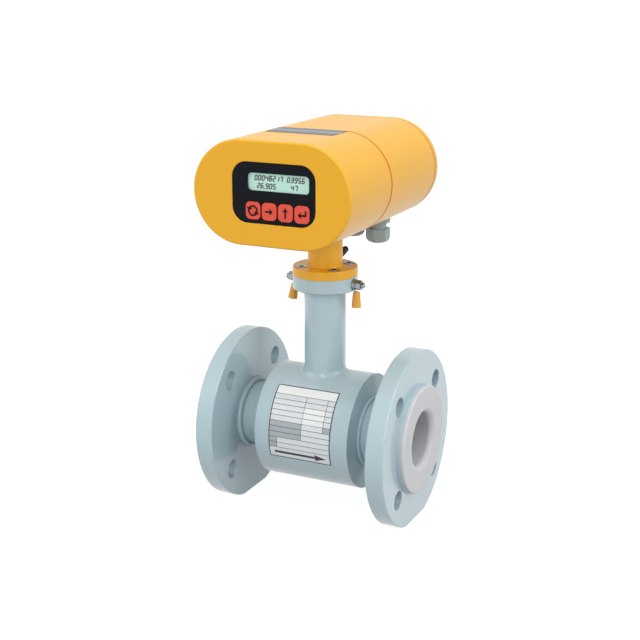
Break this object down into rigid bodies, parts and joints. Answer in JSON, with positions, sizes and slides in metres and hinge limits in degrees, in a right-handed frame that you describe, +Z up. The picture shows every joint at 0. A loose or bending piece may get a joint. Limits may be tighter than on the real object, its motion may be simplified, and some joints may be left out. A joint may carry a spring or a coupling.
{
  "type": "electromagnetic flow meter",
  "caption": "Flanged electromagnetic flow meter: lined measuring tube in a coil casing, with a display converter on a bolted neck, sprung keys and cable glands.",
  "frame": {"origin": "on the pipe axis, midway between the two sealing faces", "axes": "+X along the flow, -Y towards the display side, +Z up to the converter"},
  "size_m": [0.2, 0.1994, 0.3589],
  "materials": {
    "sensor_paint": "satin grey-blue",
    "head_paint": "satin yellow",
    "liner_plastic": "waxy off-white",
    "panel_black": "satin black",
    "display": "pale green-grey",
    "clear": "clear",
    "key_red": "matt red",
    "gland_grey": "matt grey",
    "rubber_black": "matt black",
    "plug_black": "black",
    "zinc_steel": "zinc plated",
    "stainless": "bare",
    "sleeve_yellow": "soft plastic",
    "iron": "bare",
    "copper": "enamelled copper",
    "insulator": "matt",
    "board_green": "solder mask",
    "black_plastic": "matt",
    "terminal_green": "matt",
    "label_blue": "printed film",
    "plate_silver": "printed foil"
  },
  "bodies": {
    "meter": {"inlet_flange": "sensor_paint", "outlet_flange": "sensor_paint", "measuring_tube": "sensor_paint", "flange_welds": "sensor_paint", "coil_casing": "sensor_paint", "casing_ends": "sensor_paint", "casing_welds": "sensor_paint", "neck_tube": "sensor_paint", "neck_weld": "sensor_paint", "neck_flange": "sensor_paint", "main_housing": "head_paint", "front_housing": "head_paint", "rear_cover": "head_paint", "liner": "liner_plastic", "panel_bezel": "panel_black", "display_module": "display", "display_window": "clear", "gland_bodies": "gland_grey", "gland_locknuts": "gland_grey", "front_gasket": "rubber_black", "rear_gasket": "rubber_black", "neck_ring": "rubber_black", "gland_seals": "rubber_black", "blanking_plug": "plug_black", "head_bolts": "zinc_steel", "housing_screws": "zinc_steel", "rear_cover_screws": "zinc_steel", "display_board_screws": "zinc_steel", "earth_studs": "zinc_steel", "earth_washers": "zinc_steel", "earth_spring_washers": "zinc_steel", "earth_nuts": "zinc_steel", "inlet_earth_lug": "zinc_steel", "outlet_earth_lug": "zinc_steel", "board_standoffs": "zinc_steel", "electrodes": "stainless", "electrode_nuts": "stainless", "inlet_lug_sleeve": "sleeve_yellow", "outlet_lug_sleeve": "sleeve_yellow", "flux_yoke": "iron", "pole_pieces": "iron", "coils": "copper", "electrode_bushes": "insulator", "display_board": "board_green", "main_board": "board_green", "key_switches": "black_plastic", "terminal_block": "terminal_green", "top_label": "label_blue", "type_plate": "plate_silver"},
    "key_refresh_body": {"key_refresh": "key_red"},
    "key_right_body": {"key_right": "key_red"},
    "key_up_body": {"key_up": "key_red"},
    "key_enter_body": {"key_enter": "key_red"},
    "gland_nut_left_body": {"gland_nut_left": "gland_grey"},
    "gland_nut_middle_body": {"gland_nut_middle": "gland_grey"},
    "gland_nut_right_body": {"gland_nut_right": "gland_grey"}
  },
  "joints": [
    {"name": "key_refresh_press", "type": "slide", "parent": "meter", "child": "key_refresh_body", "axis": [0, 1, 0], "range_m": [0, 0.0008], "stiffness_N_per_m": 1500},
    {"name": "key_right_press", "type": "slide", "parent": "meter", "child": "key_right_body", "axis": [0, 1, 0], "range_m": [0, 0.0008], "stiffness_N_per_m": 1500},
    {"name": "key_up_press", "type": "slide", "parent": "meter", "child": "key_up_body", "axis": [0, 1, 0], "range_m": [0, 0.0008], "stiffness_N_per_m": 1500},
    {"name": "key_enter_press", "type": "slide", "parent": "meter", "child": "key_enter_body", "axis": [0, 1, 0], "range_m": [0, 0.0008], "stiffness_N_per_m": 1500},
    {"name": "gland_nut_left_turn", "type": "hinge", "parent": "meter", "child": "gland_nut_left_body", "pos_m": [-0.026, 0.061, 0.172], "axis": [0, 0, -1], "range_deg": [-1080, 1440]},
    {"name": "gland_nut_middle_turn", "type": "hinge", "parent": "meter", "child": "gland_nut_middle_body", "pos_m": [0, 0.061, 0.172], "axis": [0, 0, -1], "range_deg": [-120, 2400]},
    {"name": "gland_nut_right_turn", "type": "hinge", "parent": "meter", "child": "gland_nut_right_body", "pos_m": [0.026, 0.061, 0.172], "axis": [0, 0, -1], "range_deg": [-1080, 1440]}
  ]
}
